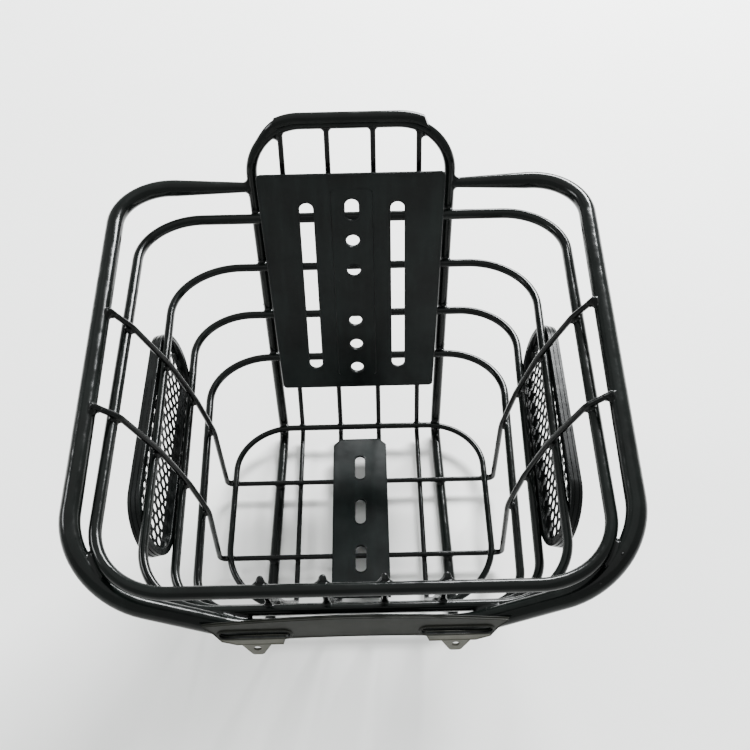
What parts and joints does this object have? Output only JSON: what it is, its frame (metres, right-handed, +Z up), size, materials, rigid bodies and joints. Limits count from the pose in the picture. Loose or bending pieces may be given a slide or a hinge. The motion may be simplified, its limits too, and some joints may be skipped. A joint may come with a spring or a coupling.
{
  "type": "bicycle handlebar basket",
  "caption": "Open welded-wire bicycle handlebar basket with a hoop-framed back plate, slotted floor plate, curved front plate and oval mesh side panels, black coated.",
  "frame": {"origin": "centre of the upper bolt hole of the back plate, half way through the sheet", "axes": "+X to the right seen from the front, +Y towards the bicycle, +Z up"},
  "size_m": [0.3448, 0.3444, 0.2912],
  "materials": {
    "rod_coat": "gloss black dip coating over welded steel rod",
    "plate_coat": "satin black coating over pressed steel sheet",
    "panel_coat": "gloss black coating over a formed steel frame",
    "mesh": "black coated expanded steel mesh"
  },
  "bodies": {
    "root": {"rim_tube": "rod_coat", "top_ring": "rod_coat", "ring_upper": "rod_coat", "ring_middle": "rod_coat", "ring_lower": "rod_coat", "floor_ring": "rod_coat", "hoop_frame": "rod_coat", "hoop_strip": "rod_coat", "length_wire_1": "rod_coat", "length_wire_2": "rod_coat", "length_wire_3": "rod_coat", "length_wire_4": "rod_coat", "cross_wire_rear": "rod_coat", "cross_wire_front": "rod_coat", "back_plate": "plate_coat", "floor_plate": "plate_coat", "front_plate": "plate_coat", "lamp_ear_left": "plate_coat", "lamp_ear_right": "plate_coat", "panel_frame_left": "panel_coat", "panel_frame_right": "panel_coat", "panel_mesh_left": "mesh", "panel_mesh_right": "mesh"}
  },
  "joints": []
}
